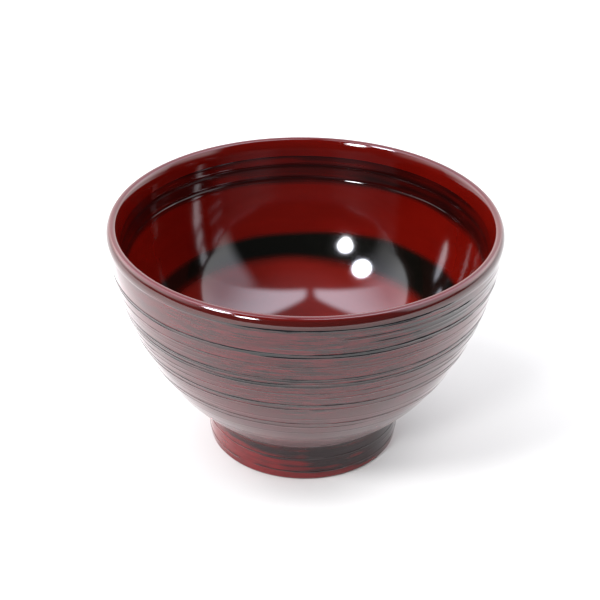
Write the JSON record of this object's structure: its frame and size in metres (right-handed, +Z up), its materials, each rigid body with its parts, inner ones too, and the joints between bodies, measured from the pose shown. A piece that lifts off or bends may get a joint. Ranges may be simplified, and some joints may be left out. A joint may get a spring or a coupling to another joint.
{
  "type": "lacquered soup bowl",
  "caption": "Round turned wooden soup bowl on a foot ring, glossy red lacquer with black brushed streaks outside and a black band inside, open top.",
  "frame": {"origin": "centre of the foot ring's underside, on the table", "axes": "+Z up along the bowl's turning axis, +X and +Y in the table's plane; the bowl is round, so X and Y are alike"},
  "size_m": [0.118, 0.118, 0.075],
  "materials": {
    "turned_wood": "turned hardwood, sealed and hidden under the coats",
    "ground_coat": "dark matt ground of lacquer and fine powder, hidden under the top coats",
    "lip_red": "high-gloss plain red lacquer",
    "outer_streaked": "gloss red lacquer with raised black brushed streaks round the bowl",
    "inner_streaked": "high-gloss red lacquer with soft black brushed streaks",
    "inner_red": "high-gloss plain red lacquer",
    "inner_black": "high-gloss black lacquer, brushed on with soft edges",
    "well_red": "high-gloss plain red lacquer",
    "foot_streaked": "gloss red lacquer with black brushed streaks round the foot",
    "underside_black": "satin-gloss black lacquer"
  },
  "bodies": {
    "root": {"wood_core": "turned_wood", "outer_ground_coat": "ground_coat", "inner_ground_coat": "ground_coat", "lip_lacquer": "lip_red", "outer_streaked_lacquer": "outer_streaked", "inner_streaked_band": "inner_streaked", "inner_wall_lacquer": "inner_red", "inner_black_band": "inner_black", "well_lacquer": "well_red", "foot_lacquer": "foot_streaked", "underside_lacquer": "underside_black"}
  },
  "joints": []
}
